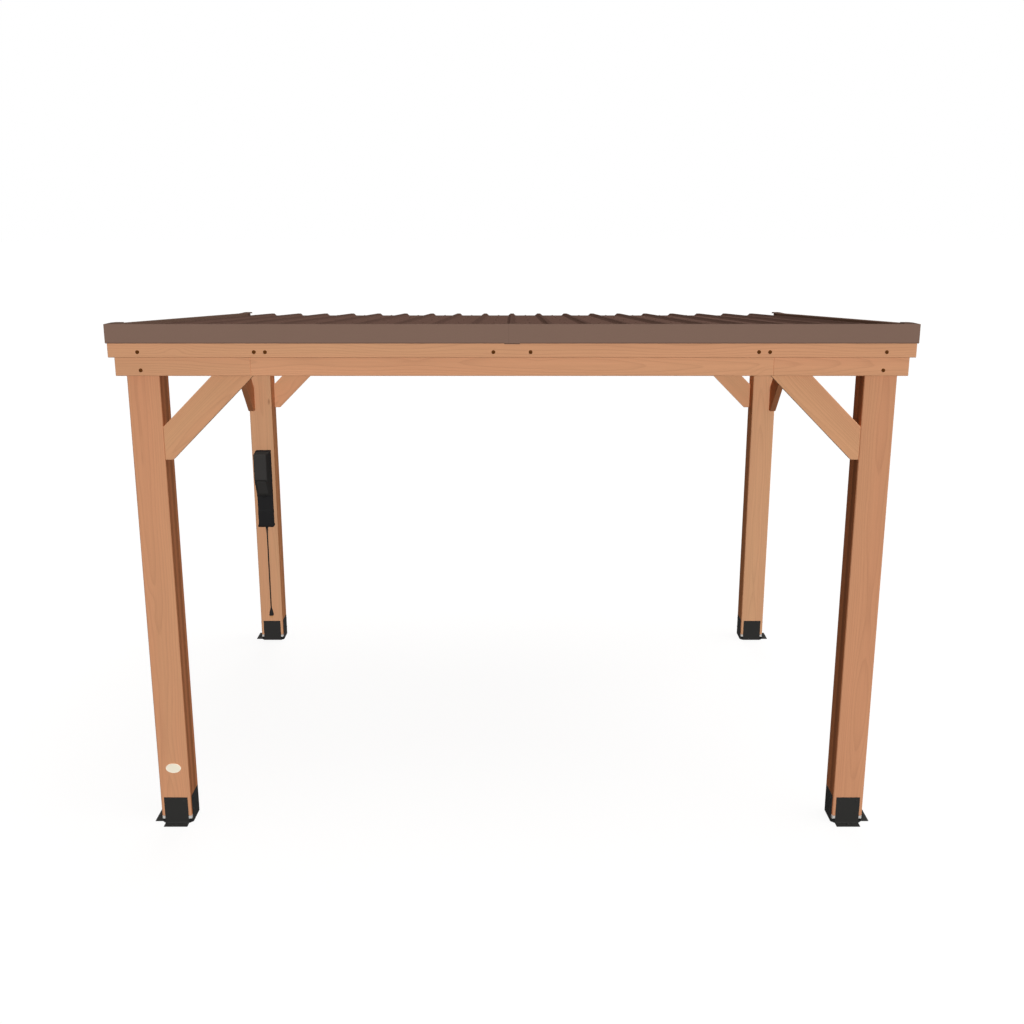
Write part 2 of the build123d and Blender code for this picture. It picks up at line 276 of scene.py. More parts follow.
# Cord, in metres, as the solid's route has it
cord_diameter = 0.009
cord_length = 0.585
cord_bend_lead = 0.054

# Strain relief, in metres, its rings and grooves at shares of the distance from ring to ring
relief_length = 0.040
relief_radius = 0.0082
relief_rings = 5
relief_groove = 0.0006
ring_edges = (0.15, 0.62)
groove_edges = (0.72, 1.0)
relief_tip_inset = 0.0002
relief_tip_drop = 0.0005

# Plug, in metres: its rings as shares of the solid's width and depth, and heights above its face
plug_corner = 0.008
plug_levels = (
    (0.94, 0.94, 0.0), (1.00, 1.00, 0.0010), (1.00, 1.00, 0.0120), (0.97, 0.97, 0.0150),
    (0.90, 0.90, 0.0162), (0.90, 0.90, 0.0180), (0.95, 0.95, 0.0192), (0.86, 0.86, 0.0245),
    (0.72, 0.72, 0.0262), (0.72, 0.72, 0.0282), (0.80, 0.80, 0.0296), (0.70, 0.70, 0.0345),
    (0.57, 0.58, 0.0362), (0.57, 0.58, 0.0382), (0.63, 0.66, 0.0396), (0.52, 0.57, 0.0460),
    (0.43, 0.51, 0.0520), (0.41, 0.49, 0.0559),
)
blade_length = 0.017
blade_width = 0.0064
blade_steel = 0.0015
blade_spacing = 0.0127
blade_root = 0.002
blade_ease = 0.0005
pin_offset = 0.008
pin_radius = 0.0024
pin_tip = ((0, -0.0165), (0.0012, -0.0168), (0.0022, -0.0155), (pin_radius, -0.0140))

# Floor and world
floor_reach = 60.0
floor_bounce = 0.14
floor_white = 0.82
ambient_level = 0.23
ambient_colour = (1.0, 0.86, 0.74, 1.0)

# Lamps: azimuth (0 shines from the front, 90 from the right), elevation, strength, spread, and shadow
lamps = {
    "front_lamp": (14, 35, 2.85, 10, False),
    "back_lamp": (180, 14, 1.70, 40, True),
    "top_lamp": (90, 70, 1.00, 50, True),
}


# Node helpers

def linear(colour):
    """Screen values from 0 to 255, as the linear colour that a shader takes."""
    def level(value):
        share = value / 255
        return share / 12.92 if share <= 0.04045 else ((share + 0.055) / 1.055) ** 2.4

    return (*(level(value) for value in colour), 1.0)


def add(tree, kind, inputs, **settings):
    """Adds a node, sets it, links or fills its inputs, and returns its outputs."""
    node = tree.nodes.new("ShaderNode" + kind)
    for name, value in settings.items():
        setattr(node, name, value)
    for key, value in inputs.items():
        if isinstance(value, bpy.types.NodeSocket):
            tree.links.new(value, node.inputs[key])
        else:
            node.inputs[key].default_value = value
    return node.outputs


def calc(tree, operation, *values):
    """One operation on numbers."""
    return add(tree, "Math", dict(enumerate(values)), operation=operation)[0]


def blend(tree, factor, first, second, kind="MIX"):
    """Mixes two colours."""
    return add(tree, "Mix", {0: factor, 6: first, 7: second}, data_type="RGBA", blend_type=kind)[2]


def stretch(tree, point, scales):
    """The point with each axis scaled."""
    return add(tree, "VectorMath", {0: point, 1: scales}, operation="MULTIPLY")[0]


def noise(tree, point, scale=1.0, detail=2.0, roughness=0.5):
    """A noise value around one half."""
    inputs = {"Vector": point, "Scale": scale, "Detail": detail, "Roughness": roughness}
    return add(tree, "TexNoise", inputs)[0]


def remap(tree, value, low, high, new_low, new_high):
    """The value moved from one range to another, and kept inside it."""
    return add(tree, "MapRange", {0: value, 1: low, 2: high, 3: new_low, 4: new_high})[0]


def swing(tree, value, amount):
    """A noise value turned into a factor around 1."""
    return calc(tree, "MULTIPLY_ADD", value, 2 * amount, 1 - amount)


def shaded(tree, tone, mask, amount):
    """A tone made lighter where the mask is 1, or darker by a negative amount."""
    return calc(tree, "MULTIPLY", tone, calc(tree, "MULTIPLY_ADD", mask, amount, 1.0))


def toned(tree, colour, tone):
    """A colour times a tone around 1."""
    grey = add(tree, "CombineXYZ", {0: tone, 1: tone, 2: tone})[0]
    return blend(tree, 1.0, colour, grey, "MULTIPLY")


def edge_mask(tree, radius):
    """Near 1 along a piece's outer edges and 0 on its flats."""
    rounded = add(tree, "Bevel", {"Radius": radius}, samples=4)[0]
    flat = add(tree, "NewGeometry", {})["Normal"]
    cosine = add(tree, "VectorMath", {0: rounded, 1: flat}, operation="DOT_PRODUCT")[1]
    return remap(tree, cosine, *edge_cosines, 0.0, 1.0)


def new_material(name):
    """A material with an empty tree, and its tree."""
    made = bpy.data.materials.new(name)
    made.use_nodes = True
    made.node_tree.nodes.clear()
    return made, made.node_tree


def close_material(tree, colour, roughness, height, bump, **numbers):
    """Ends a material with one Principled shader; numbers are set on the shader's own sockets."""
    normal = add(tree, "Bump", {"Strength": 1.0, "Distance": bump, "Height": height})[0]
    sockets = {"Base Color": colour, "Roughness": roughness, "Normal": normal}
    sockets.update({name.replace("_", " "): value for name, value in numbers.items()})
    shader = add(tree, "BsdfPrincipled", sockets)[0]
    add(tree, "OutputMaterial", {"Surface": shader})


# Timber

def timber_figure():
    """Growth rings, fibres, knots and colour bands of a board whose grain runs along Z, as a group."""
    group = bpy.data.node_groups.new("timber_figure", "ShaderNodeTree")
    group.interface.new_socket("Point", in_out="INPUT", socket_type="NodeSocketVector")
    for name in ("Shade", "Warmth", "Relief", "Knot"):
        group.interface.new_socket(name, in_out="OUTPUT", socket_type="NodeSocketFloat")
    point = group.nodes.new("NodeGroupInput").outputs[0]

    inputs = {"Vector": stretch(group, point, sway_waves), "Scale": 1.0, "Detail": 2.0}
    sway = add(group, "TexNoise", inputs)[1]
    sway = add(group, "VectorMath", {0: sway, 1: (0.5, 0.5, 0.5)}, operation="SUBTRACT")[0]
    warped = add(group, "VectorMath", {0: sway, 1: sway_reach, 2: point}, operation="MULTIPLY_ADD")[0]
    flat = stretch(group, warped, (1.0, 1.0, 0.0))
    distance = add(group, "VectorMath", {0: flat}, operation="LENGTH")[1]

    cells = {"Vector": stretch(group, point, knot_cells), "Scale": 1.0, "Randomness": 1.0}
    nearest = add(group, "TexVoronoi", cells)[0]
    knot = remap(group, nearest, *knot_edge, 1.0, 0.0)
    bulge = remap(group, nearest, *bulge_edge, 1.0, 0.0)
    bulge = calc(group, "MULTIPLY", bulge, bulge)
    bent = calc(group, "MULTIPLY_ADD", bulge, bulge_lift, distance)

    wobble = noise(group, stretch(group, point, wobble_waves), detail=3.0)
    count = calc(group, "MULTIPLY_ADD", wobble, wobble_rings, calc(group, "DIVIDE", bent, ring_pitch))
    phase = calc(group, "FRACT", count)
    rise = remap(group, phase, *late_rise, 0.0, 1.0)
    drop = remap(group, phase, *late_drop, 1.0, 0.0)
    late = calc(group, "MULTIPLY", calc(group, "MULTIPLY", rise, rise), drop)

    fibres = noise(group, stretch(group, point, fibre_waves), detail=2.0, roughness=0.6)
    streaks = noise(group, stretch(group, point, streak_waves), detail=3.0, roughness=0.6)
    bands = noise(group, stretch(group, point, band_waves), detail=2.0)

    shade = calc(group, "MULTIPLY_ADD", late, -late_tone, early_tone)
    for value, amount in ((bands, band_tone), (streaks, streak_tone), (fibres, fibre_tone)):
        shade = calc(group, "MULTIPLY", shade, swing(group, value, amount))
    shade = shaded(group, shade, knot, -knot_tone)
    warmth = noise(group, stretch(group, point, warmth_waves), detail=1.0)
    relief = calc(group, "MULTIPLY_ADD", fibres, fibre_relief, calc(group, "MULTIPLY", late, late_relief))

    results = group.nodes.new("NodeGroupOutput")
    for socket, value in zip(results.inputs, (shade, warmth, relief, knot)):
        group.links.new(value, socket)
    return group


def grain_place(tree, along, centre):
    """The place on a piece, from its centre and with the grain's direction turned to Z."""
    turn = Vector(along).rotation_difference(Vector((0, 0, 1)))
    shift = -(turn @ Vector(centre))
    place = add(tree, "TexCoord", {})["Object"]
    return add(tree, "Mapping", {"Vector": place, "Location": shift, "Rotation": turn.to_euler()})[0]


def repeated(tree, point, axis, pitch, phase, reach):
    """Cuts space into layers along one axis: the point in its layer, the layer's number and its share."""
    parts = list(add(tree, "SeparateXYZ", {0: point}))[:3]
    place = calc(tree, "MAXIMUM", calc(tree, "MINIMUM", parts[axis], reach), -reach)
    count = calc(tree, "ADD", calc(tree, "DIVIDE", place, pitch), phase)
    number = calc(tree, "FLOOR", count)
    share = calc(tree, "FRACT", count)
    parts[axis] = calc(tree, "MULTIPLY", calc(tree, "SUBTRACT", share, 0.5), pitch)
    parts[2] = calc(tree, "MULTIPLY_ADD", number, layer_step, parts[2])
    moved = add(tree, "CombineXYZ", dict(enumerate(parts)))[0]
    return moved, number, share


def glued_faces(tree, local, share, chance, reach, pitch):
    """A mask of the two faces at X = reach and -reach, and the tone of the glued layers that show there."""
    across = add(tree, "SeparateXYZ", {0: local})[0]
    faces = calc(tree, "GREATER_THAN", calc(tree, "ABSOLUTE", across), reach - side_margin)
    glue = calc(tree, "ABSOLUTE", calc(tree, "SUBTRACT", share, 0.5))
    glue = remap(tree, glue, 0.5 - glue_width / pitch, 0.5, 0.0, 1.0)
    tone = shaded(tree, swing(tree, chance, layer_tone), glue, -glue_tone)
    return faces, add(tree, "Mix", {0: faces, 2: 1.0, 3: tone}, data_type="FLOAT")[0]


def timber(name, colour, along, centre, number, layers=None, glued_reach=None):
    """Oiled softwood for one piece, its grain along a direction; each number gives a figure of its own."""
    made, tree = new_material(name)
    local = grain_place(tree, along, centre)
    point = local
    if layers:
        point, layer, share = repeated(tree, local, *layers)
    offset = (pith_offset[0] * math.sin(number * pith_turn), pith_offset[1], number * figure_step)
    point = add(tree, "VectorMath", {0: point, 1: offset}, operation="ADD")[0]
    group = tree.nodes.new("ShaderNodeGroup")
    group.node_tree = figure
    tree.links.new(point, group.inputs[0])
    shade, warmth, relief, knot = group.outputs

    tone = calc(tree, "MULTIPLY", shade, 1 + piece_tone * math.sin(number * tone_turn))
    if layers:
        seed = calc(tree, "ADD", layer, number)
        chance = add(tree, "TexWhiteNoise", {"W": seed}, noise_dimensions="1D")[0]
        if glued_reach:
            faces, layer_shade = glued_faces(tree, local, share, chance, glued_reach, layers[1])
        else:
            layer_shade = swing(tree, chance, row_tone)
        tone = calc(tree, "MULTIPLY", tone, layer_shade)
    tone = shaded(tree, tone, edge_mask(tree, timber_edge), timber_wear)

    warm, cool = (linear(map(sum, zip(colour, shift))) for shift in (warm_shift, cool_shift))
    base = blend(tree, warmth, warm, cool)
    base = blend(tree, calc(tree, "MULTIPLY", knot, knot_share), base, linear(knot_colour))
    base = toned(tree, base, tone)
    # Painted shade: the posts' glued side faces take a redder, darker tint
    if glued_reach:
        side_shade = blend(tree, faces, (1, 1, 1, 1), (*side_shade_tint, 1))
        base = blend(tree, 1.0, base, side_shade, "MULTIPLY")
    roughness = calc(tree, "MULTIPLY_ADD", shade, *timber_rough)
    close_material(tree, base, roughness, relief, timber_bump, Specular_IOR_Level=timber_gloss)
    return made


# Masks for coated steel

def raised_above(normal, low, high):
    """A mask that is 1 where a point lies further along the normal than high, and 0 below low."""
    def mask(tree, place):
        level = add(tree, "VectorMath", {0: place, 1: normal}, operation="DOT_PRODUCT")[1]
        return remap(tree, level, low, high, 0.0, 1.0)

    return mask


def turned_to(direction):
    """A mask that is 1 on the faces that look in one direction, and 0 on those well off it."""
    def mask(tree, place):
        normal = add(tree, "NewGeometry", {})["True Normal"]
        cosine = add(tree, "VectorMath", {0: normal, 1: direction}, operation="DOT_PRODUCT")[1]
        return remap(tree, cosine, *turned_cosines, 0.0, 1.0)

    return mask


def either(first, second):
    """A mask that is 1 where one of two masks is."""
    def mask(tree, place):
        return calc(tree, "MAXIMUM", first(tree, place), second(tree, place))

    return mask


def upright_line(middle, width):
    """A mask that is 1 on a thin line across X = middle."""
    def mask(tree, place):
        across = add(tree, "SeparateXYZ", {0: place})[0]
        away = calc(tree, "ABSOLUTE", calc(tree, "SUBTRACT", across, middle))
        return remap(tree, away, width * line_shares[0], width * line_shares[1], 1.0, 0.0)

    return mask


# Other finishes

def coated(name, colour, peel=420.0, bump=0.00012, mottle=0.03, rough=0.75, specular=0.0, wear=0.0, shade_and_seams=()):
    """Powder-coated steel: orange peel, slight clouds and worn edges; each mark is a mask and its darkening,
    which paints shade or darkens a seam.
    """
    made, tree = new_material(name)
    place = add(tree, "TexCoord", {})["Object"]
    clouds = noise(tree, place, coat_cloud_scale, detail=4.0, roughness=0.6)
    specks = noise(tree, place, coat_speck_scale, roughness=0.6)
    skin = noise(tree, place, peel)
    tone = calc(tree, "MULTIPLY", swing(tree, clouds, mottle), swing(tree, specks, mottle))
    tone = shaded(tree, tone, edge_mask(tree, coat_edge), wear)
    for mask, darkening in shade_and_seams:
        tone = shaded(tree, tone, mask(tree, place), -darkening)
    base = toned(tree, linear(colour), tone)
    roughness = remap(tree, clouds, *cloud_range, *(rough + change for change in coat_rough_swing))
    close_material(tree, base, roughness, skin, bump, Specular_IOR_Level=specular)
    return made


def moulded(name, colour, grain=900.0, bump=0.00006, rough=0.70, specular=0.0):
    """Moulded plastic or rubber with a fine spark-eroded grain and lighter edges."""
    made, tree = new_material(name)
    place = add(tree, "TexCoord", {})["Object"]
    skin = add(tree, "TexVoronoi", {"Vector": place, "Scale": grain})[0]
    clouds = noise(tree, place, plastic_cloud_scale, detail=3.0, roughness=0.6)
    tone = shaded(tree, swing(tree, clouds, plastic_mottle), edge_mask(tree, plastic_edge), plastic_wear)
    base = toned(tree, linear(colour), tone)
    roughness = remap(tree, clouds, *cloud_range, *(rough + change for change in plastic_rough_swing))
    close_material(tree, base, roughness, skin, bump, Specular_IOR_Level=specular)
    return made


def bare_metal(name, colour):
    """Brushed plated metal."""
    made, tree = new_material(name)
    place = add(tree, "TexCoord", {})["Object"]
    brush = noise(tree, stretch(tree, place, brush_waves), roughness=0.6)
    base = toned(tree, linear(colour), swing(tree, brush, brush_mottle))
    roughness = remap(tree, brush, *brush_range, *brush_rough)
    close_material(tree, base, roughness, brush, brush_bump, Metallic=1.0)
    return made


# Places, read from the solids

sides = {"left": -1, "right": 1}
ends = {"front": -1, "back": 1}
post_low, post_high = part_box("front_left_post")
post_side = post_high.x - post_low.x
half_depth = -post_low.y
post_x = -(post_low.x + post_high.x) / 2
post_y = -(post_low.y + post_high.y) / 2
beam_low = {end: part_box(f"{end}_middle_beam_board")[0].z for end in ends}
fall = (beam_low["front"] - beam_low["back"]) / (2 * half_depth)
tilt = math.atan(fall)
beam_face = -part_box("front_middle_beam_board")[0].y
rim_face = -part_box("front_rim_board")[0].y
side_beam_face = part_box("right_beam_board")[1].x
side_rim_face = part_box("right_rim_board")[1].x
rafter_low, rafter_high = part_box("rafters")
rafter_x = (rafter_high.x - rafter_low.x) / 2 - rafter_width / 2
purlin_low, purlin_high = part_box("purlins")
down_slope = Vector((0, math.cos(tilt), -math.sin(tilt)))
up_from_roof = Vector((0, math.sin(tilt), math.cos(tilt)))
rib_top = max(vertex.co @ up_from_roof for vertex in nodes["right_roof_sheet"].data.vertices)
box_low, box_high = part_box("outlet_box")
hood_low, hood_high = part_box("outlet_hood")
outlet_x = (box_low.x + box_high.x) / 2
gland_low, gland_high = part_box("cord_gland")
cord_x = (gland_low.x + gland_high.x) / 2
cord_y = (gland_low.y + gland_high.y) / 2
cord_top = gland_low.z
cord_end = cord_top - cord_length


def roof_line(y, lift):
    """Height at y of the line that falls with the roof, lift above the front beam's underside."""
    return beam_low["front"] + lift - (y + half_depth) * fall


def centre_of(name):
    """The middle of a node's box."""
    low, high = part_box(name)
    return (low + high) / 2


sheet_lift = purlin_high.z - roof_line(purlin_low.y, 0)


# The finishes

figure = timber_figure()
# Painted shade: the ribs' crests and the trims' upward faces and caps are darkened
shaded_crests = (raised_above(up_from_roof, rib_top - crest_fade[0], rib_top - crest_fade[1]), crest_painted_shade)
caps = raised_above(up_from_roof, rib_top + cap_fade[0], rib_top + cap_fade[1])
shaded_uppers = (either(turned_to(up_from_roof), caps), upper_painted_shade)
seam = (upright_line(joiner_seam, seam_width), seam_grime)
# The roof's coating darkens its crests, and the fascia's and joiner's darken their upper faces, as painted
# shade
roof_metal = coated("roof_coating", shaded_roof_colour, mottle=0.04, rough=0.80, shade_and_seams=[shaded_crests])
fascia_metal = coated("fascia_coating", fascia_colour, shade_and_seams=[shaded_uppers])
joiner_metal = coated("joiner_coating", fascia_colour, shade_and_seams=[shaded_uppers, seam])
# The hem's dark coating is painted shadow
hem_shadow_metal = coated("hem_painted_shadow", hem_shadow_colour, wear=0.10)
foot_metal = coated("black_coating", steel_colour, 700.0, 0.00020, 0.08, 0.75, 0.02, 0.3)
bracket_metal = coated("bracket_coating", bracket_colour, 700.0, 0.00020, 0.08, 0.70, 0.05, 0.5)
bolt_metal = coated("bolt_coating", bolt_colour, 1500.0, 0.00008, 0.10, 0.60, 0.05, 0.6)
# The roof's screws share the roof's darker colour of painted shade
screw_metal = coated("screw_coating", shaded_roof_colour, 1500.0, 0.00006, rough=0.70)
outlet_plastic = moulded("outlet_plastic", outlet_colour, specular=0.02)
hood_plastic = moulded("hood_plastic", hood_colour)
trim_plastic = moulded("trim_plastic", trim_colour, specular=0.04)
# Painted light: a lighter plastic for the downward slant
lit_slant_plastic = moulded("lit_slant_plastic", lit_slant_colour)
foam = moulded("closed_foam", foam_colour, grain=420.0, bump=0.0003, rough=0.85)
spacer_plastic = moulded("spacer_plastic", spacer_colour, rough=0.60, specular=0.10)
cord_rubber = moulded("cord_rubber", rubber_colour, grain=1400.0, bump=0.00003, rough=0.65, specular=0.10)
plug_plastic = moulded("plug_plastic", rubber_colour, grain=1100.0, rough=0.60, specular=0.12)
plate_finish = moulded("plate_plastic", plate_colour, grain=1200.0, bump=0.00002, rough=0.45, specular=0.3)
brass = bare_metal("brass", brass_colour)


# Finishes of the solids

def dress(name, material):
    """Gives a CAD node its finish."""
    for material_slot in nodes[name].material_slots:
        material_slot.material = material


def dress_timber():
    """Gives each timber piece a material of its own, with the grain along it."""
    across = (1, 0, 0)
    upright = (0, 0, 1)
    number = 0
    brace_numbers, side_brace_numbers, rafters_number, purlins_number = 20, 40, 61, 71
    layers = (1, post_side / layer_count, 0.0, post_side / 2 - layer_margin)
    for end, end_sign in ends.items():
        # The back posts take a lighter colour, painted light against the shade under the roof
        colour = post_colour if end == "front" else lightened_back_post_colour
        for side, side_sign in sides.items():
            number += 1
            name = f"{end}_{side}_post"
            made = timber(name, colour, upright, centre_of(name), number, layers, post_side / 2)
            dress(name, made)
            name = f"{end}_{side}_brace"
            along = (-side_sign, 0, 1)
            made = timber(name, brace_colour, along, centre_of(name), number + brace_numbers)
            dress(name, made)
            # Side braces take a redder colour of painted shade
            name = f"{end}_{side}_side_brace"
            along = (0, -end_sign, 1)
            made = timber(name, shaded_side_brace_colour, along, centre_of(name), number + side_brace_numbers)
            dress(name, made)
        for part in ("left_beam_board", "middle_beam_board", "right_beam_board", "rim_board"):
            number += 1
            name = f"{end}_{part}"
            dress(name, timber(name, board_colour, across, centre_of(name), number))
    # Side boards take a redder colour of painted shade
    for side in sides:
        for part in ("beam_board", "rim_board"):
            number += 1
            name = f"{side}_{part}"
            made = timber(name, shaded_side_board_colour, down_slope, centre_of(name), number)
            dress(name, made)

    layers = (0, rafter_x, 0.5, rafter_high.x - rafter_low.x)
    centre = centre_of("rafters")
    made = timber("rafters", roof_timber_colour, down_slope, centre, rafters_number, layers)
    dress("rafters", made)
    purlin_pitch = (purlin_high.y - purlin_low.y - purlin_width) / (purlin_rows - 1)
    layers = (1, purlin_pitch, 0.5, 2 * rim_face)
    made = timber("purlins", roof_timber_colour, across, centre_of("purlins"), purlins_number, layers)
    dress("purlins", made)


def dress_the_rest():
    """Steel, plastic and rubber."""
    for end in ends:
        for side in sides:
            dress(f"{end}_{side}_foot", foot_metal)
    for side in sides:
        dress(f"{side}_roof_sheet", roof_metal)
        dress(f"{side}_fascia", fascia_metal)
        dress(f"front_{side}_fascia", fascia_metal)
    dress("back_fascia", fascia_metal)
    dress("front_fascia_joiner", joiner_metal)
    dress("outlet_box", outlet_plastic)
    dress("outlet_hood", hood_plastic)
    dress("cord_gland", outlet_plastic)
    dress("badge_plate", plate_finish)
    dress("post_spacers", spacer_plastic)


# Mesh helpers

def facing(place, direction):
    """A matrix that puts a shape at place with its Z along direction."""
    turn = Vector((0, 0, 1)).rotation_difference(Vector(direction))
    return Matrix.Translation(Vector(place)) @ turn.to_matrix().to_4x4()


def on_axes(place, x_axis, y_axis, z_axis):
    """A matrix that puts a shape at place with its axes along three directions."""
    turn = Matrix((x_axis, y_axis, z_axis)).transposed().to_4x4()
    return Matrix.Translation(place) @ turn


def mesh_of(name, shape):
    """A mesh from a shape, which is used up."""
    mesh = bpy.data.meshes.new(name)
    shape.to_mesh(mesh)
    shape.free()
    return mesh


def new_object(name, data):
    """An object in the scene."""
    made = bpy.data.objects.new(name, data)
    bpy.context.scene.collection.objects.link(made)
    return made


def take_in(shape, part, matrix=None):
    """Adds a small shape to a larger one."""
    if matrix:
        bmesh.ops.transform(part, matrix=matrix, verts=part.verts)
    passing = mesh_of("passing", part)
    shape.from_mesh(passing)
    bpy.data.meshes.remove(passing)


def lathe(profile, steps):
    """A turned shape: the profile, as radius and height, goes round Z."""
    part = bmesh.new()
    angles = [2 * math.pi * step / steps for step in range(steps)]
    rings = []
    for radius, height in profile:
        if radius == 0:
            points = [(0, 0, height)]
        else:
            points = [(radius * math.cos(angle), radius * math.sin(angle), height) for angle in angles]
        rings.append([part.verts.new(point) for point in points])
    for low, high in zip(rings, rings[1:]):
        for step in range(steps):
            after = (step + 1) % steps
            corners = [low[step % len(low)], low[after % len(low)]]
            corners += [high[after % len(high)], high[step % len(high)]]
            part.faces.new(list(dict.fromkeys(corners)))
    bmesh.ops.recalc_face_normals(part, faces=part.faces)
    return part


def block(low, high, ease=0.0, segments=2):
    """A box between two corners with eased edges."""
    part = bmesh.new()
    bmesh.ops.create_cube(part, size=1.0)
    low, high = Vector(low), Vector(high)
    bmesh.ops.scale(part, vec=high - low, verts=part.verts)
    bmesh.ops.translate(part, vec=(low + high) / 2, verts=part.verts)
    if ease:
        bmesh.ops.bevel(part, geom=part.edges, offset=ease, segments=segments, profile=0.5, affect="EDGES")
    return part


def rounded_ring(width, depth, corner, height, steps=5):
    """Points round a rounded rectangle at one height."""
    corner = min(corner, width * corner_limit, depth * corner_limit)
    points = []
    for quarter in range(4):
        across = (1, -1, -1, 1)[quarter] * (width / 2 - corner)
        along = (1, 1, -1, -1)[quarter] * (depth / 2 - corner)
        for step in range(steps + 1):
            angle = (quarter + step / steps) * math.pi / 2
            points.append((across + corner * math.cos(angle), along + corner * math.sin(angle), height))
    return points


def loft(rings):
    """A closed skin through rings of points, capped at both ends."""
    part = bmesh.new()
    made = [[part.verts.new(point) for point in ring] for ring in rings]
    count = len(made[0])
    for low, high in zip(made, made[1:]):
        for step in range(count):
            after = (step + 1) % count
            part.faces.new((low[step], low[after], high[after], high[step]))
    part.faces.new(made[0])
    part.faces.new(made[-1])
    bmesh.ops.recalc_face_normals(part, faces=part.faces)
    return part


def piece(name, shape, material, replaced=()):
    """Makes a shape into a piece that rides on the body."""
    mesh = mesh_of(name, shape)
    mesh.polygons.foreach_set("use_smooth", [True] * len(mesh.polygons))
    mesh.set_sharp_from_angle(angle=smooth_angle)
    mesh.materials.append(material)
    made = new_object(name, mesh)
    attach(made, "root")
    if replaced:
        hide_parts(*replaced)
    return made


# Fasteners

def bolt(shape, place, direction, scale=1.0, steps=20):
    """A hex head on a round washer, its underside at place."""
    rim = washer_radius * scale
    lip = washer_height * scale
    soft = lip * washer_ease
    washer = [(0, 0), (rim, 0), (rim, lip - soft), (rim - soft, lip), (0, lip)]
    flats = hex_radius * scale
    top = lip + hex_height * scale
    dome = hex_height * scale * hex_dome
    head = [(0, lip), (flats, lip), (flats, top - dome), (flats * hex_crown, top), (0, top)]
    matrix = facing(place, direction)
    take_in(shape, lathe(washer, steps), matrix)
    take_in(shape, lathe(head, 6), matrix)


def beam_bolts():
    """Bolts through the rim and beam boards, at the posts and at the rafters."""
    reaches = [post_x, rafter_x + rafter_bolt_reach, rafter_x - rafter_bolt_reach, middle_bolt_reach]
    for end, sign in ends.items():
        shape = bmesh.new()
        upper = beam_low[end] + upper_bolt_lift
        lower = beam_low[end] + lower_bolt_lift
        for reach in reaches:
            for side in sides.values():
                bolt(shape, (side * reach, sign * rim_face, upper), (0, sign, 0))
        for side in sides.values():
            bolt(shape, (side * (post_x - lower_bolt_shift), sign * beam_face, lower), (0, sign, 0))
        piece(f"{end}_beam_bolts", shape, bolt_metal)
    for side, sign in sides.items():
        shape = bmesh.new()
        for y in (-post_y, post_y):
            bolt(shape, (sign * side_rim_face, y, roof_line(y, upper_bolt_lift)), (sign, 0, 0))
            bolt(shape, (sign * side_beam_face, y, roof_line(y, lower_bolt_lift)), (sign, 0, 0))
        piece(f"{side}_beam_bolts", shape, bolt_metal)


def foot_screws():
    """Four lag screws on each upright plate of each foot, and an anchor bolt on each flange."""
    plate_low, plate_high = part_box("front_left_foot")
    levels = (plate_high.z - lag_inset, lag_low)
    out = post_side / 2 + foot_steel
    anchor_reach = (-plate_low.x - post_x + out) / 2
    shape = bmesh.new()
    for end in ends.values():
        for side in sides.values():
            middle = Vector((side * post_x, end * post_y, 0))
            for outward in (Vector((side, 0, 0)), Vector((0, end, 0))):
                place = middle + outward * anchor_reach + Vector((0, 0, foot_steel))
                bolt(shape, place, (0, 0, 1), anchor_scale)
            for turn in range(4):
                angle = turn * math.pi / 2
                outward = Vector((math.cos(angle), math.sin(angle), 0))
                across = Vector((-outward.y, outward.x, 0))
                for step in (-lag_reach, lag_reach):
                    for level in levels:
                        place = middle + outward * out + across * step + Vector((0, 0, level))
                        bolt(shape, place, outward, lag_scale, 16)
    piece("foot_screws", shape, foot_metal)


def box_corners(first, second):
    """The lower and the higher corner of the box between two points."""
    low = tuple(map(min, first, second))
    high = tuple(map(max, first, second))
    return low, high


def saddle_place(x, sign, base):
    """A matrix whose Y runs along the rafter, inward from the beam, at the rafter's underside."""
    inward = down_slope * -sign
    return on_axes((x, sign * half_depth, base), inward.cross(up_from_roof), inward, up_from_roof)


def rafter_hangers():
    """Bent steel hangers under the rafters' ends, with the bolts' nuts on their wings."""
    shape = bmesh.new()
    half = rafter_width / 2
    outer = half + hanger_steel
    rafter_lift = rafter_low.z - beam_low["back"]
    wings = {-rafter_x: hanger_wing, 0.0: middle_hanger_wing, rafter_x: hanger_wing}
    for end, sign in ends.items():
        y_near = sign * half_depth
        y_far = y_near - sign * hanger_steel
        base = roof_line(y_near, rafter_lift)
        top = beam_low[end] + wing_top
        for x, wing in wings.items():
            for side in sides.values():
                corners = box_corners((x + side * outer, y_near, base), (x + side * wing, y_far, top))
                take_in(shape, block(*corners, hanger_ease, 1))
                far_corner = (hanger_steel / 2, hanger_reach, hanger_height)
                slab = block((-hanger_steel / 2, 0, 0), far_corner, hanger_ease, 1)
                take_in(shape, slab, saddle_place(x + side * (half + hanger_steel / 2), sign, base))
                bolt_x = x + side * (middle_bolt_reach if x == 0 else rafter_bolt_reach)
                place = (bolt_x, y_far, beam_low[end] + upper_bolt_lift)
                bolt(shape, place, (0, -sign, 0), hanger_bolt_scale, 16)
            seat = block((-outer, 0, -hanger_steel), (outer, hanger_reach, 0), hanger_ease, 1)
            take_in(shape, seat, saddle_place(x, sign, base))
    piece("rafter_hangers", shape, bracket_metal)


